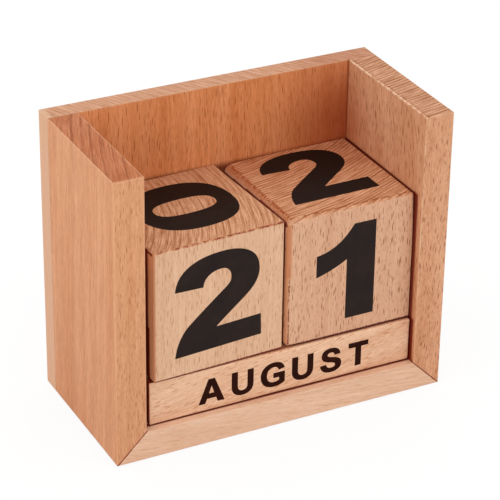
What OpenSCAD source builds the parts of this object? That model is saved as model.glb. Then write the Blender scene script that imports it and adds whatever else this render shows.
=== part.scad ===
// Perpetual desk calendar in solid beech.
// A tray of four glued boards holds two number cubes, which stand on three month bars.
// Every block is loose: it lifts or slides out, is turned to another face and goes back.
// Origin: centre of the tray's footprint, on the desk. +X to the right, +Y to the back, +Z up.
// Lengths in millimetres, angles in degrees.

/* [Number cubes] */
// Side of each number cube
cube_side = 39.1; // [25:0.1:55]
// Radius of the cubes' eased edges
cube_ease = 1; // [0.3:0.1:3]
// Turn of the tens cube in its place
tens_turn = 2.7; // [0:0.1:4]
// Turn of the units cube in its place
units_turn = 0.4; // [0:0.1:2]

/* [Month bars] */
// Radius of the bars' eased edges
bar_ease = 0.8; // [0.3:0.1:2]
// Gap between neighbouring bars
bar_gap = 0.15; // [0.05:0.05:0.5]

/* [Tray] */
// Thickness of the two side boards
side_t = 8.7; // [4:0.1:14]
// Thickness of the base board
base_t = 8.7; // [4:0.1:14]
// Thickness of the back panel
back_t = 6.4; // [3:0.1:12]
// Height of the tray above the tops of the cubes
headroom = 23.8; // [8:0.1:40]
// Radius of the tray's outer edges, where the arris is sanded off
tray_ease = 0.4; // [0.2:0.1:1.5]

/* [Play of the blocks in the tray] */
// Spare width of the tray beside the two cubes
cube_play = 4.4; // [3.5:0.1:9]
// Gap between the two cubes where they are nearest
cube_gap = 0.75; // [0.3:0.05:1.2]
// Gap between the units cube and the right side
units_side_gap = 0.3; // [0.1:0.05:0.6]
// Gap between the cubes and the back panel
cube_back_gap = 0.05; // [0.05:0.05:0.5]
// Gap under the bars and over them, so that a bar can be drawn out from below the cubes
bar_slide_gap = 0.1; // [0.05:0.05:0.3]
// Spare width of the tray beyond the length of a bar
bar_play = 2.2; // [1:0.1:5]
// Gap between the bars and the right side
bar_side_gap = 0.2; // [0.1:0.05:0.8]
// Distance of the front bar behind the tray's front
bar_setback = 2.4; // [0:0.1:8]
// Gap between the rear bar and the back panel
bar_back_gap = 0.9; // [0.1:0.1:2]

/* [Hidden] */
BARS = 3;
$fn = 24;

// A bar is a third of a cube, to a tenth of a millimetre, so the three are as deep as a cube
bar_side = floor(10 * cube_side / BARS) / 10;
bar_pitch = bar_side + bar_gap;
bars_depth = BARS * bar_pitch - bar_gap;

inner_w = 2 * cube_side + cube_play;
inner_d = bar_setback + bars_depth + bar_back_gap;
bar_len = inner_w - bar_play;

cubes_seat = base_t + bar_side + 2 * bar_slide_gap;

tray_w = inner_w + 2 * side_t;
tray_d = inner_d + back_t;
tray_h = cubes_seat + cube_side + headroom;

front_y = -tray_d / 2;
back_y = front_y + inner_d;
right_x = inner_w / 2;

bars_x = right_x - bar_side_gap - bar_len / 2;
front_bar_y = front_y + bar_setback + bar_side / 2;
bars_z = base_t + bar_slide_gap + bar_side / 2;

cubes_z = cubes_seat + cube_side / 2;
units_x = right_x - units_side_gap - reach(units_turn);
units_y = back_y - cube_back_gap - reach(units_turn);
tens_x = units_x - reach(units_turn) - cube_gap - reach(tens_turn);
tens_y = back_y - cube_back_gap - reach(tens_turn);

TRAY_WOOD = [0.83, 0.60, 0.44];
BACK_WOOD = [0.76, 0.49, 0.32];
BASE_WOOD = [0.90, 0.70, 0.55];
CUBE_WOOD = [0.87, 0.68, 0.50];
BAR_WOOD = [0.91, 0.73, 0.58];

// Half the width and depth that a cube takes up when it is turned about its upright axis
function reach(turn) = (cube_side / 2 - cube_ease) * (cos(turn) + sin(turn)) + cube_ease;

// Rectangle with rounded corners, centred on the origin
module eased_rectangle(w, h, ease) {
    square([w - 2 * ease, h], center = true);
    square([w, h - 2 * ease], center = true);
    for (x = [-1, 1], y = [-1, 1])
        translate([x * (w / 2 - ease), y * (h / 2 - ease)])
            circle(r = ease);
}

// Block with every edge eased, centred on the origin: the common part of its three eased views
module eased_block(w, d, h, ease) {
    intersection() {
        linear_extrude(height = h, center = true)
            eased_rectangle(w, d, ease);
        rotate([90, 0, 0])
            linear_extrude(height = d, center = true)
                eased_rectangle(w, h, ease);
        rotate([90, 0, 90])
            linear_extrude(height = w, center = true)
                eased_rectangle(d, h, ease);
    }
}

// The glued tray is sanded as one block, so each board is cut to the same eased envelope
module sanded_with_the_tray() {
    intersection() {
        children();
        translate([0, 0, tray_h / 2])
            eased_block(tray_w, tray_d, tray_h, tray_ease);
    }
}

// Board in front of the back panel, with the given outline seen from the front
module front_to_back_board(outline) {
    translate([0, back_y, 0])
        rotate([90, 0, 0])
            linear_extrude(height = inner_d)
                polygon(outline);
}

// Side board: upright grain, mitred at its foot to meet the base
module side_board() {
    front_to_back_board([
        [tray_w / 2, 0],
        [tray_w / 2, tray_h],
        [inner_w / 2, tray_h],
        [inner_w / 2, base_t]
    ]);
}

// Base: mitred at both ends, flush with the front of the sides
module base_board() {
    color(BASE_WOOD)
        sanded_with_the_tray()
            front_to_back_board([
                [-tray_w / 2, 0],
                [tray_w / 2, 0],
                [inner_w / 2, base_t],
                [-inner_w / 2, base_t]
            ]);
}

module left_side() {
    color(TRAY_WOOD)
        sanded_with_the_tray()
            mirror([1, 0, 0]) side_board();
}

module right_side() {
    color(TRAY_WOOD)
        sanded_with_the_tray()
            side_board();
}

// Back panel: laps over the rear ends of the sides and the base, to the tray's full width
module back_panel() {
    color(BACK_WOOD)
        sanded_with_the_tray()
            translate([-tray_w / 2, back_y, 0])
                cube([tray_w, back_t, tray_h]);
}

module number_cube(x, y, turn) {
    color(CUBE_WOOD)
        translate([x, y, cubes_z])
            rotate([0, 0, turn])
                eased_block(cube_side, cube_side, cube_side, cube_ease);
}

module tens_cube() {
    number_cube(tens_x, tens_y, tens_turn);
}

module units_cube() {
    number_cube(units_x, units_y, units_turn);
}

// Month bar in its row: 0 is the front one
module month_bar(row) {
    color(BAR_WOOD)
        translate([bars_x, front_bar_y + row * bar_pitch, bars_z])
            eased_block(bar_len, bar_side, bar_side, bar_ease);
}

module month_bar_front() {
    month_bar(0);
}

module month_bar_middle() {
    month_bar(1);
}

module month_bar_rear() {
    month_bar(2);
}

base_board();
left_side();
right_side();
back_panel();
tens_cube();
units_cube();
month_bar_front();
month_bar_middle();
month_bar_rear();
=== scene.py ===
# %% [markdown]
# # A perpetual desk calendar in beech
# Two number cubes stand side by side on three month bars, in an open tray of four glued boards. Every block
# is loose: it is lifted or drawn out, turned to another face and put back. The measured solids come from
# the CAD model, so the first step loads it. It is the frame that every piece below is built around.

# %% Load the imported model
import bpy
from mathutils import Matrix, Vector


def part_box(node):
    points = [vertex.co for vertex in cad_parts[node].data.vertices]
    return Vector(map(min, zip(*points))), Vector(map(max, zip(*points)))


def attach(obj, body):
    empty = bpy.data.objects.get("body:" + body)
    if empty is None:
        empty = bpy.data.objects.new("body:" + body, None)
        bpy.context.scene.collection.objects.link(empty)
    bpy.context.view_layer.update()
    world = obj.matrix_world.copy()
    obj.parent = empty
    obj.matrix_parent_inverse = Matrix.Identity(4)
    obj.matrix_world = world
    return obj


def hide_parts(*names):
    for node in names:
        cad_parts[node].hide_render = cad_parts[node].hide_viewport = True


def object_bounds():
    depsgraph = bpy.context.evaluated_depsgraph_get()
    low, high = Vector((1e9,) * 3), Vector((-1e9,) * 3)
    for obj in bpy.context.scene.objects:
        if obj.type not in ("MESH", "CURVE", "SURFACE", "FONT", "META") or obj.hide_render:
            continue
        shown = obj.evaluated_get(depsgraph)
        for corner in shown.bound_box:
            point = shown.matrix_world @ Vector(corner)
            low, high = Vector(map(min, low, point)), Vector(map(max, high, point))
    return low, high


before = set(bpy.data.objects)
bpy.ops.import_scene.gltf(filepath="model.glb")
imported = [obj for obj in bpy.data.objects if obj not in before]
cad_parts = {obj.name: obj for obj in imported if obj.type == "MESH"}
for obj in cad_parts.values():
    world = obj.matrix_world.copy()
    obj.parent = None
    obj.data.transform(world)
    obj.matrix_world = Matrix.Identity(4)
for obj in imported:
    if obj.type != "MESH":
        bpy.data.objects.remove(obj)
cad_low, cad_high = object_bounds()
print("boards and blocks:", sorted(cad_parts))

# %% [markdown]
# ## Measures
# A maker of small wooden things thinks in millimetres and Blender in metres, so one constant turns the one
# into the other. The middle and size of each board and block are read from the CAD model, never typed in.
# Two more small helpers put a thing into the scene and point from the calendar to a lamp or the camera.

# %% The modules and the first helpers
import math

import bmesh
import bpy
from mathutils import Matrix, Quaternion, Vector

MM = 0.001


def middle(node):
    """The middle of a CAD piece, in metres."""
    low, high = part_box(node)
    return (low + high) / 2


def half_size(node):
    """Half the width, depth and height of a CAD piece, in millimetres."""
    low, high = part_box(node)
    return (high - low) / 2 / MM


def put(name, data):
    """Puts an object into the scene that shows a mesh, a curve, a lamp or a camera."""
    thing = bpy.data.objects.new(name, data)
    bpy.context.collection.objects.link(thing)
    return thing


def towards(turn, height):
    """The way from the calendar to a place turned from its front and raised, in degrees."""
    turn, height = math.radians(turn), math.radians(height)
    return Vector((
        math.sin(turn) * math.cos(height),
        -math.cos(turn) * math.cos(height),
        math.sin(height),
    ))


print("tray, mm:", [round(side / MM, 1) for side in cad_high - cad_low])

# %% [markdown]
# ## The camera
# The calendar is seen from the front, from the left and from above, through a long lens, which keeps its
# upright edges nearly parallel. The camera is placed by plain values: where it stands, the way it looks,
# and a small roll. A constraint that tracks the calendar could aim it as well, but it would hide the roll.

# %% The camera
CAMERA_PLACE = (-0.253853, -0.495091, 0.341503)
CAMERA_AZIMUTH = -27.294
CAMERA_ELEVATION = 28.253
CAMERA_ROLL = 0.864
CAMERA_LENS = 164.74
SENSOR_WIDTH = 36

camera_data = bpy.data.cameras.new("camera")
camera_data.lens = CAMERA_LENS
camera_data.sensor_width = SENSOR_WIDTH
camera = put("camera", camera_data)
camera.location = CAMERA_PLACE
camera.rotation_mode = "QUATERNION"
level = (-towards(CAMERA_AZIMUTH, CAMERA_ELEVATION)).to_track_quat("-Z", "Y")
camera.rotation_quaternion = level @ Quaternion((0, 0, 1), math.radians(CAMERA_ROLL))
bpy.context.scene.camera = camera
print("camera:", [round(c, 3) for c in camera.location], "lens", camera_data.lens)

# %% [markdown]
# ## Wiring nodes
# Materials and Geometry Nodes are both graphs. A few small helpers keep the wiring readable: each adds a
# node or two, feeds their sockets with numbers or with other nodes' outputs, and hands back the output to
# go on with. An output knows which graph it belongs to, so a helper that is given one finds the graph by
# itself.

# %% Helpers that add a node
def feed(socket, value):
    """Puts a value into a socket: a link if it is another node's output, else a plain number or colour."""
    if isinstance(value, bpy.types.NodeSocket):
        socket.id_data.links.new(value, socket)
    else:
        socket.default_value = value


def add(tree, kind, inputs=None, **settings):
    """Adds a node, with its settings and its named inputs."""
    node = tree.nodes.new(kind)
    for name, value in settings.items():
        setattr(node, name, value)
    for name, value in (inputs or {}).items():
        feed(node.inputs[name], value)
    return node


def tree_of(*values):
    """The graph of the first output among some values."""
    return next(value.id_data for value in values if isinstance(value, bpy.types.NodeSocket))


def sums(operation, *values, clamp=False):
    """A Math node: one operation on one, two or three numbers."""
    node = add(tree_of(*values), "ShaderNodeMath", operation=operation, use_clamp=clamp)
    for socket, value in zip(node.inputs, values):
        feed(socket, value)
    return node.outputs[0]


def vectors(operation, *values):
    """A Vector Math node. The length and the dot product come out as numbers."""
    node = add(tree_of(*values), "ShaderNodeVectorMath", operation=operation)
    sockets = [node.inputs[0], node.inputs["Scale"]] if operation == "SCALE" else node.inputs
    for socket, value in zip(sockets, values):
        feed(socket, value)
    return node.outputs["Value" if operation in ("LENGTH", "DOT_PRODUCT") else "Vector"]


def one_vector(x, y=0.0, z=0.0):
    """A vector made of up to three numbers."""
    return add(tree_of(x, y, z), "ShaderNodeCombineXYZ", {"X": x, "Y": y, "Z": z}).outputs[0]


def ramp(value, start, end, low=0.0, high=1.0):
    """A soft step: low before start, high after end."""
    return add(tree_of(value), "ShaderNodeMapRange", {
        "Value": value,
        "From Min": start,
        "From Max": end,
        "To Min": low,
        "To Max": high,
    }, interpolation_type="SMOOTHSTEP").outputs[0]


def fade(value, start, end):
    """A soft step the other way: 1 before start, 0 after end."""
    return ramp(value, start, end, 1.0, 0.0)


def blend(factor, first, second):
    """A Mix node for numbers."""
    inputs = {"Factor": factor, "A": first, "B": second}
    return add(tree_of(factor, first, second), "ShaderNodeMix", inputs).outputs[0]


def blend_colours(factor, first, second):
    """A Mix node for colours."""
    node = add(tree_of(factor), "ShaderNodeMix", data_type="RGBA")
    for place, value in ((0, factor), (6, first), (7, second)):
        feed(node.inputs[place], value)
    return node.outputs[2]


def noise(vector, size, detail=2.0, roughness=0.5):
    """Soft noise about 0.5, with features of about the given size along x, y and z."""
    steps = vectors("DIVIDE", vector, size)
    inputs = {"Vector": steps, "Scale": 1.0, "Detail": detail, "Roughness": roughness}
    return add(tree_of(vector), "ShaderNodeTexNoise", inputs).outputs[0]


# %% Helpers for what comes up often
def about_nought(value):
    """Noise moved down by its middle, so that it takes away as much as it adds."""
    return sums("SUBTRACT", value, 0.5)


def wandering(width, place, size, detail, change):
    """A width that changes from place to place, by up to half the given share of itself each way."""
    luck = noise(place, (size, size, size), detail, 0.6)
    return sums("MULTIPLY", width, sums("MULTIPLY_ADD", luck, change, 1 - change / 2))


def square_to(normal, direction):
    """1 on a face that looks along a direction, either way, and 0 on a face that lies along it."""
    return ramp(sums("ABSOLUTE", vectors("DOT_PRODUCT", normal, direction)), 0.45, 0.85)


def colour(red, green, blue):
    """A colour as it shows on a screen, 0 to 255, turned into the light values that Blender works with."""
    def light(shown):
        part = shown / 255
        return part / 12.92 if part <= 0.04045 else ((part + 0.055) / 1.055) ** 2.4
    return (light(red), light(green), light(blue), 1.0)


# %% A node group with named inputs and outputs
ORIGIN = (0, 0, 0)
BLACK = (0, 0, 0, 1)


def socket_kind(value):
    """The kind of socket that suits a first value. Kinds without a value are named in full."""
    if isinstance(value, str):
        return value
    if isinstance(value, tuple):
        return "NodeSocketVector" if len(value) == 3 else "NodeSocketColor"
    return "NodeSocketInt" if isinstance(value, int) else "NodeSocketFloat"


def new_group(name, kind, inputs, outputs):
    """An empty node group: the tree, its inputs' node and its outputs' node."""
    tree = bpy.data.node_groups.new(name, kind)
    for way, sockets in (("INPUT", inputs), ("OUTPUT", outputs)):
        for socket_name, value in sockets.items():
            socket = tree.interface.new_socket(socket_name, in_out=way, socket_type=socket_kind(value))
            if not isinstance(value, str):
                socket.default_value = value
    return tree, tree.nodes.new("NodeGroupInput").outputs, tree.nodes.new("NodeGroupOutput").inputs


# %% [markdown]
# ## Light and surroundings
# The calendar stands on a white table in a white room, which gives most of the light and keeps the shadows
# soft and warm. Three weak lamps, from the left, the front and above, tell the faces apart. Together they
# stay low enough for a colour to render about as it is written. The white of the background isn't made with
# light. It is the floor's and the world's own colour, shown only to the camera and in reflections. The
# floor's glow makes up for the small share of its colour that is left to catch the object's shadow.

# %% White to the camera
ROOM_LIGHT = 0.92
FLOOR_SHADE = 0.16
FLOOR_GLOW = 1.04


def seen_directly(tree):
    """1 where a ray comes from the camera, a reflection or a clear piece, else 0."""
    path = add(tree, "ShaderNodeLightPath").outputs
    shown = sums("MAXIMUM", path["Is Camera Ray"], path["Is Glossy Ray"])
    return sums("MAXIMUM", shown, path["Is Transmission Ray"])


world = bpy.data.worlds.new("white_room")
world.use_nodes = True
tree = world.node_tree
tree.nodes.clear()
strength = ramp(seen_directly(tree), 0.0, 1.0, ROOM_LIGHT, 1.0)
background = add(tree, "ShaderNodeBackground", {"Color": (1, 1, 1, 1), "Strength": strength})
add(tree, "ShaderNodeOutputWorld", {"Surface": background.outputs[0]})
bpy.context.scene.world = world
bpy.context.scene.view_settings.view_transform = "Standard"

# %% The table
FLOOR_HALF = 3.0
FLOOR_DROP = 0.0002

floor_mesh = bpy.data.meshes.new("table_top")
corners = [(x * FLOOR_HALF, y * FLOOR_HALF, -FLOOR_DROP) for x, y in ((-1, -1), (1, -1), (1, 1), (-1, 1))]
floor_mesh.from_pydata(corners, [], [(0, 1, 2, 3)])
floor = put("table_top", floor_mesh)

paper = bpy.data.materials.new("white_table")
paper.use_nodes = True
tree = paper.node_tree
tree.nodes.clear()
matt = add(tree, "ShaderNodeBsdfDiffuse", {"Color": colour(235, 235, 235)})
glow = add(tree, "ShaderNodeEmission", {"Color": (1, 1, 1, 1), "Strength": FLOOR_GLOW})
share = sums("MULTIPLY", seen_directly(tree), 1 - FLOOR_SHADE)
shown = add(tree, "ShaderNodeMixShader")
for place, value in enumerate((share, matt.outputs[0], glow.outputs[0])):
    feed(shown.inputs[place], value)
add(tree, "ShaderNodeOutputMaterial", {"Surface": shown.outputs[0]})
floor_mesh.materials.append(paper)
print("table top:", 2 * FLOOR_HALF, "m wide")

# %% The lamps
LAMPS = {
    "left_lamp": (-72, 35, 0.7, 1.8),
    "front_lamp": (15, 45, 0.8, 0.9),
    "top_lamp": (-20, 80, 0.8, 0.5),
}
LAMP_DISTANCE = 1.2
LAMP_AIM = Vector((0, 0, 0.04))


def soft_lamp(name, turn, height, size, power):
    """A large square lamp that looks at the calendar, turned from its front and raised, in degrees."""
    data = bpy.data.lights.new(name, "AREA")
    data.shape = "SQUARE"
    data.size = size
    data.energy = power
    away = towards(turn, height)
    lamp = put(name, data)
    lamp.location = LAMP_AIM + away * LAMP_DISTANCE
    lamp.rotation_euler = away.to_track_quat("Z", "Y").to_euler()


for name, values in LAMPS.items():
    soft_lamp(name, *values)
print("lamps:", ", ".join(LAMPS))

# %% [markdown]
# ## Beech
# Beech is known by three things. Its year rings are faint lines on the long sides and clear curved lines on
# the sawn ends. Its rays, bundles of cells that cross the fibres, show as short dark flecks on the long
# sides. Fine straight streaks follow the fibres. All three follow from where the board lay in the tree, so
# the pattern is worked out in the tree's own measures: distance from the pith, way round it, and height up
# the trunk. An image would be quicker, but it could not run on from face to face over the edge of a block
# as real wood does. The group takes a vector in millimetres whose Z runs up the trunk and whose origin is
# on the pith.

# %% The beech group: the place in the trunk
beech, wood_in, wood_out = new_group(
    "beech",
    "ShaderNodeTree",
    {
        "Trunk": ORIGIN, "Fibre direction": (0, 0, 1), "Pith distance": 60.0,
        "Ring spacing": 2.0, "Ring strength": 0.3, "End ring strength": 0.6,
        "Fleck strength": 0.6, "Fleck width": 0.6, "Fleck length": 3.8, "Quiet sides": ORIGIN,
        "Streak strength": 0.1, "Band strength": 0.5, "End shade": 0.6, "End roughness": 0.3,
        "Pale": colour(226, 182, 148), "Warm": colour(206, 148, 108), "Ring": colour(158, 92, 54),
        "Fleck": colour(140, 74, 40), "End": colour(186, 124, 84),
    },
    {"Colour": BLACK, "Roughness": 0.5, "Height": 0.0},
)
RIPPLE = 0.3

bend = noise(wood_in["Trunk"], (26, 26, 90)).node.outputs["Color"]
offset = vectors("SUBTRACT", bend, (0.5, 0.5, 0.5))
offset = vectors("MULTIPLY", offset, (2 * RIPPLE, 2 * RIPPLE, 0))
trunk = vectors("ADD", wood_in["Trunk"], offset)
part = add(beech, "ShaderNodeSeparateXYZ", {"Vector": trunk}).outputs
radius = vectors("LENGTH", vectors("MULTIPLY", trunk, (1, 1, 0)))
around = sums("MULTIPLY", sums("ARCTAN2", part[1], part[0]), wood_in["Pith distance"])
normal = add(beech, "ShaderNodeNewGeometry").outputs["Normal"]
end_grain = square_to(normal, wood_in["Fibre direction"])

# %% [markdown]
# A ring darkens slowly towards the end of its year and then stops at a sharp line. Some years are strong
# and some hardly show, so each ring gets its own strength, and the rings' widths wander a little.

# %% The beech group: year rings
WANDER = 1.6
WANDER_YEARS = 2.7
RING_START = 0.3
RING_END = 0.92
FAINTEST = 0.35

years = sums("DIVIDE", radius, wood_in["Ring spacing"])
wander = noise(one_vector(years), (WANDER_YEARS, 1, 1))
years = sums("MULTIPLY_ADD", wander, WANDER, years)
season = sums("FRACT", years)
late = sums("MULTIPLY", ramp(season, RING_START, RING_END), fade(season, RING_END, 1.0))
late = sums("POWER", late, 2.0)
year_luck = add(beech, "ShaderNodeTexWhiteNoise", {"W": sums("FLOOR", years)}, noise_dimensions="1D")
rings = sums("MULTIPLY", late, ramp(year_luck.outputs[0], 0.0, 1.0, FAINTEST, 1.0))

# %% [markdown]
# A ray shows as a fleck a quarter of a millimetre wide and a millimetre or two long. Cells of a Voronoi
# texture, squeezed across the fibres and stretched along them, give each fleck its own place and size. The
# large ones are also the dark ones. A large and a small kind lie among each other. On a side that was cut
# along the rays they lie flat and hardly show, so a piece can name the sides that stay quiet.

# %% The beech group: flecks
FLECK_DEPTH = 1.5
SMALL_STRENGTH = 0.6


def flecks_of(share, smallest, largest):
    """A mask of flecks, one in each cell: a few large and dark, the others small and faint."""
    width = sums("MULTIPLY", wood_in["Fleck width"], share)
    length = sums("MULTIPLY", wood_in["Fleck length"], share)
    depth = sums("MULTIPLY", width, FLECK_DEPTH)
    steps = zip((around, part[2], radius), (width, length, depth))
    place = one_vector(*[sums("DIVIDE", measure, step) for measure, step in steps])
    cells = add(beech, "ShaderNodeTexVoronoi", {"Vector": place, "Scale": 1.0})
    luck = add(beech, "ShaderNodeSeparateColor", {"Color": cells.outputs["Color"]}).outputs[0]
    inside = sums("DIVIDE", cells.outputs["Distance"], ramp(luck, 0.0, 1.0, smallest, largest))
    return sums("MULTIPLY", fade(inside, 0.5, 1.0), ramp(luck, 0.0, 1.0, FAINTEST, 1.0))


large_flecks = flecks_of(1.0, 0.16, 0.42)
small_flecks = flecks_of(0.55, 0.14, 0.40)
flecks = sums("MAXIMUM", large_flecks, sums("MULTIPLY", small_flecks, SMALL_STRENGTH))

# %% The beech group: streaks along the fibres, and pores
fine_streaks = noise(trunk, (0.5, 0.5, 9), 3.0, 0.7)
soft_bands = noise(trunk, (3.2, 3.2, 70), 2.0, 0.5)
broad_tone = noise(trunk, (14, 14, 120), 1.0, 0.5)
pores = noise(trunk, (0.16, 0.16, 2.2), 1.0, 0.5)

# %% [markdown]
# A sawn end is rougher than a planed side. Short lines run beside the rings, and torn fibres make it
# speckled.

# %% The beech group: marks on a sawn end
SPECKLE_SHARE = 0.5

ring_lines = noise(one_vector(radius, around), (0.42, 7.0, 1), 2.0, 0.6)
speckle = noise(trunk, (0.3, 0.3, 40), 2.0, 0.7)
rough_end = sums("MULTIPLY_ADD", about_nought(speckle), SPECKLE_SHARE, about_nought(ring_lines))

# %% [markdown]
# The colours go on from the broadest to the finest: the board's own tone, soft bands, the darker sawn ends,
# rings, streaks, and the flecks last. Where beech is darker it is also warmer, so a streak takes away twice
# as much blue as red.

# %% The beech group: its colour
WARMING = (1.3, 2.0, 2.7)
PORE_SHARE = 0.6
GRAIN_MIDDLE = 0.8


def stained(shade, mask, strength, stain):
    """A colour with a stain over it as far as a mask and a strength say."""
    return blend_colours(sums("MULTIPLY", mask, strength), shade, stain)


tone = sums("ADD", about_nought(soft_bands), about_nought(broad_tone))
tone = sums("MULTIPLY_ADD", tone, sums("MULTIPLY", wood_in["Band strength"], 2.0), 0.5, clamp=True)
shade = blend_colours(tone, wood_in["Pale"], wood_in["Warm"])
shade = stained(shade, end_grain, wood_in["End shade"], wood_in["End"])
ring_strength = blend(end_grain, wood_in["Ring strength"], wood_in["End ring strength"])
shade = stained(shade, rings, ring_strength, wood_in["Ring"])
grain = sums("MULTIPLY_ADD", pores, PORE_SHARE, fine_streaks)
grain = sums("MULTIPLY", sums("SUBTRACT", grain, GRAIN_MIDDLE), wood_in["Streak strength"])
marks = blend(end_grain, grain, sums("MULTIPLY", rough_end, wood_in["End roughness"]))
shade = vectors("MULTIPLY", shade, vectors("MULTIPLY_ADD", marks, WARMING, (1, 1, 1)))
quiet = sums("ABSOLUTE", vectors("DOT_PRODUCT", normal, wood_in["Quiet sides"]))
shown = sums("SUBTRACT", 1.0, sums("MAXIMUM", end_grain, quiet))
shade = stained(shade, sums("MULTIPLY", flecks, shown), wood_in["Fleck strength"], wood_in["Fleck"])
feed(wood_out["Colour"], shade)

# %% The beech group: its surface
ROUGHNESS = 0.5
ROUGHER = [(fine_streaks, 0.12), (end_grain, 0.1)]
RELIEF = [(fine_streaks, 0.5), (pores, 0.3), (flecks, -0.35), (rings, -0.2)]


def piled_up(start, layers):
    """A number and, on top of it, each pattern with its own share."""
    for pattern, share in layers:
        start = sums("MULTIPLY_ADD", pattern, share, start)
    return start


feed(wood_out["Roughness"], piled_up(ROUGHNESS, ROUGHER))
feed(wood_out["Height"], piled_up(0.0, RELIEF))
print("beech group:", len(beech.nodes), "nodes")

# %% [markdown]
# ## Edges and joints
# The edges of every piece get a painted highlight, a pale rim. On a block with square faces the distance to
# the
# nearest edge is easy to know: measure how far a point lies inside each of the three pairs of faces, and
# take the middle one of the three. One group turns that into a mask with a ragged rim. A second group marks
# one edge by itself, for a place that is worn more than the rest, for a painted highlight and for a painted
# shadow under a block. A third marks what lies in a box and fades out round it, for painted light and
# shade:
# the shadow that a block casts on a wall or on the floor, a shaded corner, a shaded bevel, a lit front. A
# fourth draws the thin dark line where two boards are glued.

# %% The group for the painted highlight on all edges of a block
edges, edges_in, edges_out = new_group(
    "edge_highlight",
    "ShaderNodeTree",
    {"Block": ORIGIN, "Half size": (20, 20, 20), "Width": 1.0},
    {"Edge": 0.0},
)
depth = vectors("SUBTRACT", edges_in["Half size"], vectors("ABSOLUTE", edges_in["Block"]))
deep = add(edges, "ShaderNodeSeparateXYZ", {"Vector": depth}).outputs
smaller = sums("MINIMUM", deep[0], deep[1])
larger = sums("MAXIMUM", deep[0], deep[1])
from_edge = sums("MAXIMUM", smaller, sums("MINIMUM", larger, deep[2]))
reach = wandering(edges_in["Width"], edges_in["Block"], 0.9, 3.0, 1.6)
feed(edges_out["Edge"], fade(sums("DIVIDE", from_edge, reach), 0.5, 1.0))

# %% The group for one edge: wear, a painted highlight, a painted shadow
worn, worn_in, worn_out = new_group(
    "edge_wear_light_and_shade",
    "ShaderNodeTree",
    {
        "Block": ORIGIN, "Point": ORIGIN, "Across": (1, 0, 1),
        "Width": 1.0, "Gaps": 0.5, "Patch size": 5.0, "Softness": 0.4,
    },
    {"Wear": 0.0},
)
PATCH_RIM = 0.06

apart = vectors("MULTIPLY", vectors("SUBTRACT", worn_in["Block"], worn_in["Point"]), worn_in["Across"])
distance = vectors("LENGTH", apart)
patch_size = one_vector(worn_in["Patch size"], worn_in["Patch size"], worn_in["Patch size"])
patches = noise(worn_in["Block"], patch_size, 3.0, 0.6)
reach = wandering(worn_in["Width"], worn_in["Block"], 0.5, 2.0, 1.2)
near = fade(sums("DIVIDE", distance, reach), sums("SUBTRACT", 1.0, worn_in["Softness"]), 1.0)
kept = ramp(patches, sums("SUBTRACT", worn_in["Gaps"], PATCH_RIM), sums("ADD", worn_in["Gaps"], PATCH_RIM))
feed(worn_out["Wear"], sums("MULTIPLY", near, kept))

# %% The group for painted light and shade in a box
shut, light_and_shade_box, shut_out = new_group(
    "light_and_shade_box",
    "ShaderNodeTree",
    {"Place": ORIGIN, "Low": ORIGIN, "High": (1, 1, 1), "Fade": 3.0},
    {"Shade": 0.0},
)
below = vectors("SUBTRACT", light_and_shade_box["Low"], light_and_shade_box["Place"])
above = vectors("SUBTRACT", light_and_shade_box["Place"], light_and_shade_box["High"])
outside = vectors("LENGTH", vectors("MAXIMUM", vectors("MAXIMUM", below, above), ORIGIN))
feed(shut_out["Shade"], fade(sums("DIVIDE", outside, light_and_shade_box["Fade"]), 0.0, 1.0))

# %% The group for a glue line
seam, seam_in, seam_out = new_group(
    "glue_line",
    "ShaderNodeTree",
    {"Place": ORIGIN, "Direction": (1, 0, 1), "Distance": 50.0, "Width": 0.15},
    {"Line": 0.0},
)
along = vectors("DOT_PRODUCT", seam_in["Place"], vectors("NORMALIZE", seam_in["Direction"]))
off_line = sums("ABSOLUTE", sums("SUBTRACT", along, seam_in["Distance"]))
reach = wandering(seam_in["Width"], seam_in["Place"], 2.5, 3.0, 1.6)
feed(seam_out["Line"], fade(sums("DIVIDE", off_line, reach), 0.4, 1.0))
print("groups:", [group.name for group in bpy.data.node_groups])

# %% [markdown]
# ## Sizes of the loose blocks
# The CAD model gives each block's place. The cubes are turned a little in the tray, so their own size can't
# be read from their boxes and is written here, with the same values as in the CAD model.

# %% The sizes and turns of the blocks
CUBE_SIDE = 39.1
TURNS = {"tens_cube": 2.7, "units_cube": 0.4}
BARS = ["month_bar_front", "month_bar_middle", "month_bar_rear"]


def half_size_of(node):
    """Half the size of a piece in its own turned measures, in millimetres."""
    if node in TURNS:
        return Vector((CUBE_SIDE, CUBE_SIDE, CUBE_SIDE)) / 2
    return half_size(node)


def turn_of(node):
    """How far a piece stands turned in the tray, in radians."""
    return math.radians(TURNS.get(node, 0))


# %% [markdown]
# ## A beech finish for each piece
# Every board and block was cut from another place in another trunk, so each gets its own material, made by
# the same recipe. A Mapping node first moves the pattern to the middle of the piece and turns it with the
# piece, in millimetres. A second one moves the origin to the pith and stands Z along the fibres.

# %% The recipe for a piece of beech
UP = (0, 0, 1)
ALONG = (1, 0, 0)
GRAIN_TURN = {UP: 0, ALONG: 90}
# The painted highlight along every edge of a piece: its colour, width and strength.
EDGE_HIGHLIGHT = colour(238, 190, 150)
EDGE_WIDTH = 0.45
EDGE_STRENGTH = 0.22
GLUE = colour(126, 38, 2)
GLUE_STRENGTH = 0.9
WOOD_GLOSS = 0.2
WOOD_RELIEF = 0.07
WOOD_RELIEF_DEPTH = 0.1
finishes = {}


def fill_group(tree, group, values):
    """Places a group in a material, with its inputs, and hands back its outputs."""
    node = add(tree, "ShaderNodeGroup", node_tree=group)
    for name, value in values.items():
        feed(node.inputs[name], value)
    return node.outputs


def new_finish(name):
    """A new material, its graph, and the place on a piece in metres."""
    material = bpy.data.materials.new(name)
    material.use_nodes = True
    tree = material.node_tree
    return material, tree, add(tree, "ShaderNodeTexCoord").outputs["Object"]


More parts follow.
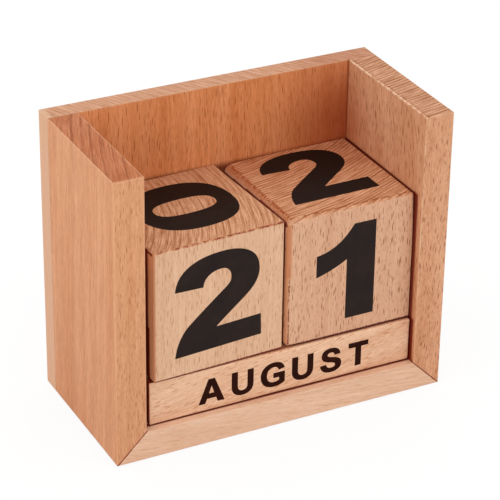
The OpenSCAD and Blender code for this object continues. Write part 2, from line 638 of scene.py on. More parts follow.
def dress(tree, shade, roughness, gloss, relief, strength, depth):
    """Gives a material's shader its colour, roughness, gloss and relief. The depth is in millimetres."""
    shader = tree.nodes["Principled BSDF"]
    feed(shader.inputs["Base Color"], shade)
    feed(shader.inputs["Roughness"], roughness)
    shader.inputs["Specular IOR Level"].default_value = gloss
    bump = add(tree, "ShaderNodeBump", {"Height": relief, "Strength": strength, "Distance": depth * MM})
    feed(shader.inputs["Normal"], bump.outputs[0])


def beech_finish(node, fibres, pith, lean, wood, edge_wear_and_shading=(), block_shading=(), tray_shading=(), seams=()):
    """Makes the finish of one piece: how the trunk lay in it, its wood, its wear, its painted light and
    shade, and its joints.
    """
    material, tree, place = new_finish("beech_" + node)
    half = half_size_of(node)
    block = add(tree, "ShaderNodeMapping", {
        "Vector": place,
        "Location": middle(node),
        "Rotation": (0, 0, turn_of(node)),
        "Scale": (MM, MM, MM),
    }, vector_type="TEXTURE").outputs[0]
    trunk = add(tree, "ShaderNodeMapping", {
        "Vector": block,
        "Location": pith,
        "Rotation": (math.radians(lean[0]), math.radians(GRAIN_TURN[fibres] + lean[1]), 0),
    }, vector_type="TEXTURE").outputs[0]
    from_pith = math.hypot(*[p for p, f in zip(pith, fibres) if f == 0])
    values = {"Trunk": trunk, "Fibre direction": fibres, "Pith distance": from_pith, **wood}
    grain = fill_group(tree, beech, values)
    # A painted highlight along every edge of the piece.
    rim = fill_group(tree, edges, {"Block": block, "Half size": half, "Width": EDGE_WIDTH})[0]
    shade = stained(grain["Colour"], rim, EDGE_STRENGTH, EDGE_HIGHLIGHT)
    # Marks along one edge: real wear, painted highlights and painted shadows.
    for point, across, width, gaps, patch_size, softness, strength, stain in edge_wear_and_shading:
        mark = fill_group(tree, worn, {
            "Block": block, "Point": Vector(point) - half, "Across": across,
            "Width": width, "Gaps": gaps, "Patch size": patch_size, "Softness": softness,
        })[0]
        shade = stained(shade, mark, strength, stain)
    # Boxes of painted light and shade: on a block in its own measures, on the tray in world millimetres.
    world_place = vectors("SCALE", place, 1 / MM)
    boxes = [(block, Vector(low) - half, Vector(high) - half, *how) for low, high, *how in block_shading]
    boxes += [(world_place, *box) for box in tray_shading]
    for where, low, high, fade, strength, stain in boxes:
        cover = fill_group(tree, shut, {"Place": where, "Low": low, "High": high, "Fade": fade})[0]
        shade = stained(shade, cover, strength, stain)
    for direction, distance, width in seams:
        values = {"Place": world_place, "Direction": direction, "Distance": distance, "Width": width}
        shade = stained(shade, fill_group(tree, seam, values)[0], GLUE_STRENGTH, GLUE)
    dress(tree, shade, grain["Roughness"], WOOD_GLOSS, grain["Height"], WOOD_RELIEF, WOOD_RELIEF_DEPTH)
    finishes[node] = material


# %% [markdown]
# The marks are lists of plain values. A mark along an edge gives a point on it, the way it runs, its width,
# the share of gaps in it, the size of its patches, its softness, its strength and its stain. Some of these
# are real wear, others are painted highlights and painted shadows. A box of painted light or shade gives
# the low and the high corner of a box, the width of the fade round it, its strength and its stain. Both are
# measured in millimetres from the block's left, front and bottom faces, so they stay with the block when it
# is turned or moved.

# %% Stains, painted shadows and highlights, and the ways that an edge can run
RUNS_RIGHT = (0, 1, 1)
RUNS_BACK = (1, 0, 1)
RUNS_UP = (1, 1, 0)
# The dark of the inside corner line: part glue, part painted shade.
GLUE_AND_SHADE_DARK = colour(140, 58, 24)
# Pale chips on one edge, a painted highlight on others.
CHIPS_AND_HIGHLIGHT = colour(244, 204, 168)
# A brown for wear on one edge, and for painted shade elsewhere.
WEAR_AND_SHADE_BROWN = colour(150, 66, 30)
# Painted shade on bevels that face away from the light.
BEVEL_SHADE = colour(206, 134, 90)
# Painted light on the shaded left face of a cube, near its front.
PAINTED_GAP_LIGHT = colour(250, 196, 148)
# Painted shadows: dark reds for the gaps between blocks, walls and floor, and under the blocks' bottom
# edges.
PAINTED_SHADOW = colour(110, 20, 4)
DEEP_PAINTED_SHADOW = colour(108, 14, 0)
DARKEST_PAINTED_SHADOW = colour(80, 6, 0)

# %% The tens cube
# Painted shade on the back of a cube's top, below the back panel.
TOP_BACK_SHADE = ((0, CUBE_SIDE - 2.0, CUBE_SIDE), (CUBE_SIDE, CUBE_SIDE, CUBE_SIDE), 30.0)
beech_finish(
    "tens_cube", UP, (-65, 18, 0), (0, 1),
    {
        "Ring spacing": 1.8, "Ring strength": 0.10, "End ring strength": 0.75, "End roughness": 1.2,
        "Fleck strength": 0.7, "Fleck width": 0.27, "Fleck length": 3.6,
        "Streak strength": 0.22, "Band strength": 0.5,
        "Pale": colour(231, 189, 155), "Warm": colour(222, 174, 138), "Fleck": colour(168, 98, 30),
        "End": colour(196, 130, 86), "Ring": colour(144, 72, 10),
    },
    edge_wear_and_shading=[
        ((0, 0, CUBE_SIDE), RUNS_RIGHT, 0.75, 0.47, 1.6, 0.9, 0.7, colour(178, 88, 40)),
        ((0, 0, CUBE_SIDE), RUNS_RIGHT, 0.6, 0.515, 2.2, 0.8, 0.9, colour(132, 44, 8)),
        # A painted shadow along the bottom front edge, where the cube stands on the bar.
        ((0, 0, 0), RUNS_RIGHT, 0.65, 0.0, 5.0, 0.3, 0.95, DEEP_PAINTED_SHADOW),
    ],
    block_shading=[
        # Painted light on the left face near the front, painted shade on the left bevel, painted shadows of
        # the left board further back on that face, and painted shade at the back of the top.
        ((0, 0.9, 0), (0, 2.6, CUBE_SIDE), 0.6, 0.9, PAINTED_GAP_LIGHT),
        ((0, 0, 0), (0.3, 0.7, CUBE_SIDE), 0.3, 0.75, BEVEL_SHADE),
        ((0, 3.6, 0), (0, 4.7, CUBE_SIDE), 0.5, 0.95, PAINTED_SHADOW),
        ((0, 2.9, 0), (0, 4.7, CUBE_SIDE / 2 - 4.0), 0.5, 0.95, PAINTED_SHADOW),
        ((0, 1.0, CUBE_SIDE - 0.9), (0, 4.7, CUBE_SIDE - 0.1), 0.35, 0.95, PAINTED_SHADOW),
        (*TOP_BACK_SHADE, 0.22, WEAR_AND_SHADE_BROWN),
    ],
)

# %% The units cube
STEP_LENGTH = 7.7
STEP_DROP = 0.34
# A painted shadow along the top of the left face, stepping down towards the back.
sloping_shadow = [
    (
        (0, 1.2 + STEP_LENGTH * step, CUBE_SIDE - 2.2 - STEP_DROP * step),
        (0.2, 1.2 + STEP_LENGTH * (step + 1), CUBE_SIDE - 0.9 - STEP_DROP * step),
        0.5, 0.95, PAINTED_SHADOW,
    )
    for step in range(5)
]
beech_finish(
    "units_cube", UP, (-35, 95, 0), (0, 1),
    {
        "Ring spacing": 1.1, "Ring strength": 0.08, "End ring strength": 1.0, "End roughness": 1.3,
        "Fleck strength": 1.0, "Fleck width": 0.27, "Fleck length": 3.5,
        "Streak strength": 0.26, "Band strength": 0.5,
        "Pale": colour(228, 181, 148), "Warm": colour(215, 161, 126), "Fleck": colour(128, 58, 2),
        "End": colour(198, 128, 82), "Ring": colour(134, 58, 2),
    },
    edge_wear_and_shading=[
        ((1.2, 0, CUBE_SIDE), RUNS_BACK, 0.9, 0.46, 1.2, 0.8, 0.95, colour(150, 62, 8)),
        ((0.6, 0, CUBE_SIDE - 0.6), RUNS_BACK, 0.6, 0.5, 0.9, 0.8, 0.8, colour(164, 74, 22)),
        ((0, 1.1, CUBE_SIDE), RUNS_RIGHT, 0.6, 0.47, 1.6, 0.8, 0.8, colour(150, 74, 22)),
        ((0.7, 0, 0), RUNS_UP, 0.4, 0.5, 1.6, 0.5, 0.95, colour(120, 40, 0)),
        # A painted shadow along the bottom front edge, where the cube stands on the bar.
        ((0, 0, 0), RUNS_RIGHT, 0.75, 0.0, 5.0, 0.3, 0.95, DARKEST_PAINTED_SHADOW),
    ],
    block_shading=[
        # Painted shade on the top left and front left bevels, painted shadows on the left face beside the
        # tens cube, and painted shade at the back of the top.
        ((0, 1.2, CUBE_SIDE - 0.9), (0.9, CUBE_SIDE, CUBE_SIDE), 0.7, 0.4, BEVEL_SHADE),
        ((0, 0, 0), (0.4, 0.9, CUBE_SIDE - 1.8), 0.5, 0.8, BEVEL_SHADE),
        ((0, 0, CUBE_SIDE / 2 + 2.0), (1.1, 0.9, CUBE_SIDE - 1.8), 0.5, 0.8, BEVEL_SHADE),
        ((0, 1.7, 0), (0, 2.6, CUBE_SIDE - 1.0), 0.5, 0.95, PAINTED_SHADOW),
        *sloping_shadow,
        (*TOP_BACK_SHADE, 0.3, WEAR_AND_SHADE_BROWN),
    ],
)

# %% [markdown]
# The three bars are cut and sanded alike. Only the front one gets painted shadows, in the gap at its left
# end and under the cubes that stand on it, because the others are covered while the calendar stands ready.

# %% The month bars
bar_side = 2 * half_size("month_bar_front").z
BAR_PITHS = [(0, 60, 35), (0, 22, -48), (0, -40, 52)]
BAR_LEANS = [(0, -12), (0, 3), (2, -2)]
# Painted shadows on the front bar: along its top under the cubes' front edges, and in the gap at its left
# end.
FRONT_BAR_CONTACT_SHADOW = [((0, 1.6, bar_side), RUNS_RIGHT, 1.5, 0.1, 5.0, 0.8, 0.8, WEAR_AND_SHADE_BROWN)]
FRONT_BAR_SHADOWS = [
    ((0, 0.5, 0), (0, 1.9, bar_side), 0.35, 0.95, PAINTED_SHADOW),
    ((0, 0.6, bar_side), (1.2, 3.4, bar_side), 0.5, 0.9, PAINTED_SHADOW),
]
for bar, pith, lean in zip(BARS, BAR_PITHS, BAR_LEANS):
    is_front = bar == "month_bar_front"
    beech_finish(
        bar, ALONG, pith, lean,
        {
            "Ring spacing": 2.6, "Ring strength": 0.12, "End ring strength": 0.7, "End roughness": 0.25,
            "Fleck strength": 0.75, "Fleck width": 0.34, "Fleck length": 3.0,
            "Streak strength": 0.36, "Band strength": 0.8,
            "Pale": colour(239, 194, 160), "Warm": colour(224, 168, 131), "Fleck": colour(184, 100, 24),
        },
        edge_wear_and_shading=FRONT_BAR_CONTACT_SHADOW if is_front else [],
        block_shading=FRONT_BAR_SHADOWS if is_front else [],
    )

# %% [markdown]
# Where the tray is marked follows from where its boards and blocks meet, so its marks are measured in the
# tray's own place, in millimetres: right, back and up from the middle of its underside. The shadows of the
# blocks on the walls and the floor of the tray are painted, the back corner on the right gets painted shade
# from its walls and blocks, the left board is painted darker towards its foot, and its front gets painted
# light. A glue line gives the way across it, its distance from the middle and its width.

# %% Where the boards and blocks meet
tray_half_width = cad_high.x / MM
tray_front = cad_low.y / MM
tray_top = cad_high.z / MM
inner_right = tray_half_width - 2 * half_size("right_side").x
inner_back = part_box("back_panel")[0].y / MM
floor_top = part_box("base_board")[1].z / MM
bar_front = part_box("month_bar_front")[0].y / MM
bar_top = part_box("month_bar_front")[1].z / MM
cube_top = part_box("tens_cube")[1].z / MM
mitre_distance = tray_half_width / math.sqrt(2)
LEFT_MITRE = ((-1, 0, 1), mitre_distance, 0.26)
RIGHT_MITRE = ((1, 0, 1), mitre_distance, 0.26)
BACK_SEAM = ((0, 1, 0), inner_back, 0.14)
print("blocks' well:", round(2 * inner_right, 1), "wide,", round(inner_back - bar_front, 1), "deep")

# %% Painted light and shade on the tray
# Painted shadows of the blocks: on the right wall, along the back panel and on the floor of the tray.
SIDE_SHADOW = (
    (inner_right, bar_front + 0.3, floor_top), (inner_right, bar_front + 1.6, cube_top - 0.6),
    1.2, 0.95, PAINTED_SHADOW,
)
BAR_SHADOW = (
    (inner_right, bar_front - 0.8, floor_top), (inner_right, bar_front + 0.8, bar_top),
    0.9, 0.95, PAINTED_SHADOW,
)
CUBE_TOP_SHADOW = (
    (inner_right, bar_front + 1.4, cube_top - 1.2), (inner_right, inner_back, cube_top - 0.5),
    0.7, 0.95, PAINTED_SHADOW,
)
BACK_SHADOW_LINE = (
    (-inner_right, inner_back, cube_top - 2.4), (inner_right, inner_back, cube_top - 1.6),
    2.4, 0.8, PAINTED_SHADOW,
)
FLOOR_SHADOW_LINE = (
    (-inner_right, bar_front, floor_top), (inner_right, bar_front + 0.9, floor_top),
    0.6, 0.95, DEEP_PAINTED_SHADOW,
)
# A thin dark line in the back right inside corner: part glue line, part painted shade.
CORNER_GLUE_AND_SHADE = (
    (inner_right, inner_back, cube_top), (inner_right, inner_back, tray_top),
    0.6, 0.7, GLUE_AND_SHADE_DARK,
)
RIGHT_SHADE = (
    (inner_right, inner_back, 0), (inner_right, inner_back, cube_top + 5.0),
    16.0, 0.5, colour(184, 84, 24),
)
BACK_SHADE = (
    (inner_right, inner_back, 0), (inner_right, inner_back, cube_top + 6.0),
    31.0, 0.76, colour(150, 54, 12),
)
# Painted shade: the left board gets darker towards the bottom.
FOOT_SHADE = ((-tray_half_width, tray_front, 0), (-inner_right, inner_back, 0), 75.0, 0.12, WEAR_AND_SHADE_BROWN)
# Painted light on the left board's front face.
LIT_FRONT = (
    (0.5 - tray_half_width, tray_front, 0), (-inner_right, tray_front, tray_top),
    1.0, 0.17, EDGE_HIGHLIGHT,
)

# %% The four boards of the tray
beech_finish(
    "left_side", UP, (283, -100, 0), (3, 0),
    {
        "Ring spacing": 2.6, "Ring strength": 0.10, "End ring strength": 0.6, "End roughness": 0.9,
        "Fleck strength": 0.75, "Fleck width": 0.3, "Fleck length": 3.6, "Quiet sides": (0.7, 0, 0),
        "Streak strength": 0.5, "Band strength": 0.9,
        "Pale": colour(226, 163, 120), "Warm": colour(212, 143, 97), "Fleck": colour(158, 82, 12),
        "End": colour(166, 77, 31), "Ring": colour(132, 54, 18),
    },
    # A painted highlight along the top outer edge.
    edge_wear_and_shading=[((0, 0, tray_top), RUNS_BACK, 0.34, 0.0, 5.0, 0.6, 0.7, CHIPS_AND_HIGHLIGHT)],
    tray_shading=[FOOT_SHADE, LIT_FRONT],
    seams=[LEFT_MITRE, BACK_SEAM],
)
beech_finish(
    "right_side", UP, (-30, 105, 0), (-7, 2),
    {
        "Ring spacing": 1.3, "Ring strength": 0.12, "End ring strength": 1.0, "End roughness": 1.2,
        "Fleck strength": 0.9, "Fleck width": 0.31, "Fleck length": 5.2,
        "Streak strength": 0.45, "Band strength": 0.8,
        "Pale": colour(225, 168, 130), "Warm": colour(208, 146, 106), "Fleck": colour(132, 60, 2),
        "End": colour(191, 138, 104), "Ring": colour(142, 76, 22),
    },
    edge_wear_and_shading=[
        ((0.9, 0, tray_top), RUNS_BACK, 0.7, 0.52, 0.9, 0.8, 0.6, WEAR_AND_SHADE_BROWN),
        ((0, 0, tray_top), RUNS_BACK, 0.6, 0.5, 1.5, 0.4, 0.8, CHIPS_AND_HIGHLIGHT),
        # A painted highlight, in patches, up the front inner edge.
        ((0, 0, 0), RUNS_UP, 0.35, 0.55, 5.0, 0.4, 0.4, CHIPS_AND_HIGHLIGHT),
    ],
    tray_shading=[RIGHT_SHADE, SIDE_SHADOW, BAR_SHADOW, CUBE_TOP_SHADOW, CORNER_GLUE_AND_SHADE],
    seams=[RIGHT_MITRE, BACK_SEAM],
)
beech_finish(
    "base_board", ALONG, (0, 50, 90), (0, 7),
    {
        "Ring spacing": 3.0, "Ring strength": 0.08, "End ring strength": 0.6,
        "Fleck strength": 0.3, "Fleck width": 0.5, "Fleck length": 4.0,
        "Streak strength": 0.3, "Band strength": 0.8,
        "Pale": colour(235, 193, 163), "Warm": colour(225, 177, 145), "Fleck": colour(206, 130, 62),
    },
    tray_shading=[FLOOR_SHADOW_LINE],
    seams=[LEFT_MITRE, RIGHT_MITRE, BACK_SEAM],
)
beech_finish(
    "back_panel", UP, (130, 82, 0), (0, -1),
    {
        "Ring spacing": 1.7, "Ring strength": 0.14, "End ring strength": 0.55, "End roughness": 0.9,
        "Fleck strength": 0.7, "Fleck width": 0.27, "Fleck length": 4.6, "End shade": 0.85,
        "Streak strength": 0.42, "Band strength": 0.7,
        "Pale": colour(234, 156, 104), "Warm": colour(214, 130, 76), "Fleck": colour(150, 58, 0),
        "End": colour(204, 156, 126), "Ring": colour(170, 100, 50),
    },
    # Its left end is pale. Only the distance along the panel counts, so one wide mark covers the end.
    edge_wear_and_shading=[((0, 0, 0), ALONG, 2.0, 0.0, 5.0, 0.4, 0.75, colour(220, 178, 147))],
    tray_shading=[BACK_SHADOW_LINE, BACK_SHADE, CORNER_GLUE_AND_SHADE],
)
print("finishes:", len(finishes))

# %% [markdown]
# ## The loose blocks
# All five loose blocks follow one rule: a block with square faces whose edges were eased with sandpaper, a
# little more here and a little less there. The bars' edges are round. The cubes' edges are nearly flat
# bevels, wider on the left and, for one cube, at the top. So one Geometry Nodes tree makes them all. It
# starts from a grid of points over a cube, crowds the points towards the edges, where the shape bends, and
# moves every point to the ease's distance from a smaller core block. A Bevel modifier on a cube would give
# the same even ease, but not the slight differences of work by hand.

# %% The tree for an eased block: points crowded towards the edges
block_tree, shape_in, shape_out = new_group(
    "eased_block",
    "GeometryNodeTree",
    {
        "Half size": (0.02, 0.02, 0.02), "Ease": 0.001, "More on the left": 0.0, "More at the top": 0.0,
        "Flatness": 0.0, "Unevenness": 0.3, "Seed": 0.0,
        "Points X": 41, "Points Y": 41, "Points Z": 41, "Finish": "NodeSocketMaterial",
    },
    {"Block": "NodeSocketGeometry"},
)
start = add(block_tree, "GeometryNodeMeshCube", {
    "Size": (2, 2, 2),
    "Vertices X": shape_in["Points X"],
    "Vertices Y": shape_in["Points Y"],
    "Vertices Z": shape_in["Points Z"],
})
even = add(block_tree, "GeometryNodeInputPosition").outputs[0]
from_rim = vectors("SUBTRACT", (1, 1, 1), vectors("ABSOLUTE", even))
crowded = vectors("SUBTRACT", (1, 1, 1), vectors("MULTIPLY", from_rim, from_rim))
crowded = vectors("MULTIPLY", crowded, vectors("SIGN", even))
square = vectors("MULTIPLY", crowded, shape_in["Half size"])

# %% The tree for an eased block: the ease
LUCK_PER_METRE = 55.0

luck_place = vectors("ADD", vectors("SCALE", square, LUCK_PER_METRE), one_vector(shape_in["Seed"]))
luck = noise(luck_place, (1, 1, 1), 1.0)
change = sums("MULTIPLY", about_nought(luck), 2.0)
change = sums("MULTIPLY_ADD", change, shape_in["Unevenness"], 1.0)
side = add(block_tree, "ShaderNodeSeparateXYZ", {"Vector": even}).outputs
wide_left = sums("MULTIPLY", fade(side[0], -1.0, 0.0), shape_in["More on the left"])
wide_top = sums("MULTIPLY", ramp(side[2], 0.0, 1.0), shape_in["More at the top"])
ease = sums("ADD", shape_in["Ease"], sums("ADD", wide_left, wide_top))
ease = sums("MULTIPLY", ease, change)
core = vectors("SUBTRACT", shape_in["Half size"], one_vector(ease, ease, ease))
inner = vectors("MINIMUM", square, core)
inner = vectors("MAXIMUM", inner, vectors("SCALE", core, -1.0))
outwards = vectors("SUBTRACT", square, inner)
round_length = vectors("LENGTH", outwards)
flat_length = vectors("DOT_PRODUCT", vectors("ABSOLUTE", outwards), (1, 1, 1))
length = blend(shape_in["Flatness"], round_length, flat_length)
eased = vectors("ADD", inner, vectors("SCALE", outwards, sums("DIVIDE", ease, length)))
moved = add(block_tree, "GeometryNodeSetPosition", {"Geometry": start.outputs["Mesh"], "Position": eased})
smooth = add(block_tree, "GeometryNodeSetShadeSmooth", {"Geometry": moved.outputs[0]})
real = add(block_tree, "GeometryNodeRealizeInstances", {"Geometry": smooth.outputs[0]})
painted = add(block_tree, "GeometryNodeSetMaterial", {
    "Geometry": real.outputs[0],
    "Material": shape_in["Finish"],
})
feed(shape_out["Block"], painted.outputs[0])
print("eased block:", len(block_tree.nodes), "nodes")

# %% Run the tree for one block
UNEVENNESS = 0.35


def as_mesh(holder):
    """The plain mesh that an object ends up as. The object itself is thrown away."""
    made = bpy.data.meshes.new_from_object(holder.evaluated_get(bpy.context.evaluated_depsgraph_get()))
    bpy.data.objects.remove(holder)
    return made


def grown(tree, values):
    """A plain mesh, made by a Geometry Nodes tree with the given inputs."""
    holder = put("holder", bpy.data.meshes.new("holder"))
    modifier = holder.modifiers.new("rule", "NODES")
    modifier.node_group = tree
    for item in tree.interface.items_tree:
        if item.in_out == "INPUT" and item.name in values:
            modifier[item.identifier] = values[item.name]
    return as_mesh(holder)


def placed(node):
    """The matrix that takes a block from the origin to its place and turn in the tray."""
    return Matrix.Translation(middle(node)) @ Matrix.Rotation(turn_of(node), 4, "Z")


def eased_block(node, ease, left, top, flatness, seed, points):
    """The block that stands for a CAD node, in its place and turn. Eases are in millimetres."""
    mesh = grown(block_tree, {
        "Half size": half_size_of(node) * MM,
        "Ease": ease * MM,
        "More on the left": left * MM,
        "More at the top": top * MM,
        "Flatness": flatness,
        "Unevenness": UNEVENNESS,
        "Seed": seed,
        "Points X": points[0],
        "Points Y": points[1],
        "Points Z": points[2],
        "Finish": finishes[node],
    })
    mesh.transform(placed(node))
    mesh.name = node + "_wood"
    block = put(node + "_wood", mesh)
    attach(block, node)
    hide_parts(node)
    return block


# %% Make the two cubes and the three bars
CUBE_EASE = 0.1
CUBE_POINTS = (53, 53, 53)
BAR_EASE = 0.6
BAR_POINTS = (97, 25, 25)
cubes = {
    "tens_cube": eased_block(
        "tens_cube", CUBE_EASE, left=0.4, top=0.1, flatness=0.85, seed=3.0, points=CUBE_POINTS
    ),
    "units_cube": eased_block(
        "units_cube", CUBE_EASE, left=1.0, top=0.65, flatness=0.7, seed=8.0, points=CUBE_POINTS
    ),
}
bars = {
    bar: eased_block(
        bar, BAR_EASE, left=-0.35, top=-0.15, flatness=0.2, seed=20.0 + place, points=BAR_POINTS
    )
    for place, bar in enumerate(BARS)
}
print("faces in a cube:", len(cubes["tens_cube"].data.polygons))

# %% [markdown]
# ## The printed figures
# The figures are printed in black, in a wide and heavy plain type. A text object would need a font file, so
# the outlines are drawn here, as a sign painter would: straight stretches and curves from point to point,
# with their controls. A stretch of two numbers is a straight line to that point. A stretch of six is a
# curve: two controls, then the point. Figures are in millimetres about their middle, 28.8 mm high.

# %% Ovals
ROUND = 0.5523


def oval(x, y, wide, high, fullness=ROUND):
    """A closed oval about (x, y), half as wide and high as said. More fullness makes it squarer."""
    w, h = wide * fullness, high * fullness
    return [
        (x, y + high),
        (x + w, y + high, x + wide, y + h, x + wide, y),
        (x + wide, y - h, x + w, y - high, x, y - high),
        (x - w, y - high, x - wide, y - h, x - wide, y),
        (x - wide, y + h, x - w, y + high, x, y + high),
    ]


# %% The figures from nought to eight
FIGURES = {
    "0": [oval(0, 0, 13.1, 14.5, 0.66), oval(0, 0, 4.2, 9.3, 0.70)],
    "1": [[
        (9.1, 14.5), (9.1, -14.5), (0.2, -14.5), (0.2, 4.1), (-2.2, 2.6, -5.6, 1.2, -9.2, 0.3),
        (-9.2, 6.9), (-4.2, 7.6, -1, 9.8, 2.3, 14.5),
    ]],
    "2": [[
        (-13, 5.7), (-4.5, 5.1), (-4.3, 7.6, -2.2, 9.3, 1, 9.3), (2.9, 9.3, 4, 8, 4, 6),
        (4, 5, 3.5, 4.3, 2.5, 3.5), (-3.5, -1), (-9.1, -5.4), (-11.6, -7.6, -13, -10.8, -13.5, -14.3),
        (12.8, -14.3), (12.8, -7.9), (-0.8, -7.9), (1, -6.3, 3.6, -4.5, 5.8, -2.8),
        (7.4, -1.6, 8.8, -0.6, 9.9, 0.5), (11.8, 2.4, 12.6, 4.3, 12.6, 6.6),
        (12.6, 11.6, 8.4, 14.5, 1, 14.5), (-7, 14.5, -12.4, 11.6, -13, 5.7),
    ]],
    "3": [[
        (-12, 6.4), (-11.2, 11.8, -6.6, 14.5, 0.2, 14.5), (7.4, 14.5, 11.6, 11.4, 11.6, 7.2),
        (11.6, 4.2, 9.9, 2.1, 7, 1), (10.6, 0, 12.6, -2.4, 12.6, -5.9),
        (12.6, -11.2, 7.8, -14.5, 0, -14.5), (-7.2, -14.5, -12, -11.4, -12.8, -5.8), (-5, -5),
        (-4.6, -7.6, -2.8, -8.9, -0.1, -8.9), (2.7, -8.9, 4.4, -7.6, 4.4, -5.4),
        (4.4, -3.2, 2.6, -2, -0.6, -2), (-2.6, -2), (-2.6, 3.7), (-0.8, 3.7),
        (2.2, 3.7, 3.8, 4.8, 3.8, 6.6), (3.8, 8.4, 2.4, 9.4, 0.1, 9.4), (-2.2, 9.4, -3.9, 8.2, -4.3, 5.7),
    ]],
    "4": [[
        (3.2, -14.5), (3.2, -8.2), (-13.6, -8.2), (-13.6, -2.4), (2.4, 14.5), (11.2, 14.5), (11.2, -2.6),
        (14, -2.6), (14, -8.2), (11.2, -8.2), (11.2, -14.5),
    ], [
        (3.2, -2.6), (-6.2, -2.6), (3.2, 7),
    ]],
    "5": [[
        (-9.4, 14.2), (11, 14.2), (11, 8), (-3.6, 8), (-4.4, 3.6), (-2.8, 4.6, -1, 5.1, 1.2, 5.1),
        (8, 5.1, 12.6, 1.4, 12.6, -4.4), (12.6, -10.6, 7.8, -14.5, 0, -14.5),
        (-7.2, -14.5, -11.8, -11.6, -12.8, -6.4), (-4.8, -5.6), (-4.2, -7.8, -2.6, -9, -0.1, -9),
        (2.8, -9, 4.4, -7.4, 4.4, -4.6), (4.4, -1.9, 2.8, -0.5, 0, -0.5),
        (-2, -0.5, -3.6, -1.2, -4.8, -2.6), (-11.8, -1.6),
    ]],
    "6": [[
        (12, 7.4), (11, 12.2, 6.8, 14.5, 0.8, 14.5), (-7.6, 14.5, -12.8, 9, -12.8, -0.6),
        (-12.8, -9.6, -8, -14.5, 0.2, -14.5), (7.8, -14.5, 12.8, -10.6, 12.8, -5),
        (12.8, 0.8, 8.4, 4.2, 2, 4.2), (-1, 4.2, -3.4, 3.4, -5, 1.9), (-4.7, 6.6, -2.9, 9.2, 0.6, 9.2),
        (2.6, 9.2, 3.8, 8.4, 4.2, 6.6),
    ], oval(0.2, -5, 4.6, 4)],
    "7": [[
        (-12.8, 14.2), (12.8, 14.2), (12.8, 9.4), (6.8, 3.4, 2.8, -5, 2.2, -14.5), (-6.6, -14.5),
        (-6.2, -6.4, -3, 1.4, 3, 7.6), (-12.8, 7.6),
    ]],
    "8": [[
        (0, 14.5), (7.2, 14.5, 11.4, 11.6, 11.4, 7.2), (11.4, 4.2, 9.8, 2.2, 7, 1.1),
        (10.8, 0, 12.8, -2.4, 12.8, -6), (12.8, -11.2, 8, -14.5, 0, -14.5),
        (-8, -14.5, -12.8, -11.2, -12.8, -6), (-12.8, -2.4, -10.8, 0, -7, 1.1),
        (-9.8, 2.2, -11.4, 4.2, -11.4, 7.2), (-11.4, 11.6, -7.2, 14.5, 0, 14.5),
    ], oval(0, 6.9, 3.9, 2.9), oval(0, -5.9, 4.6, 3.4)],
}

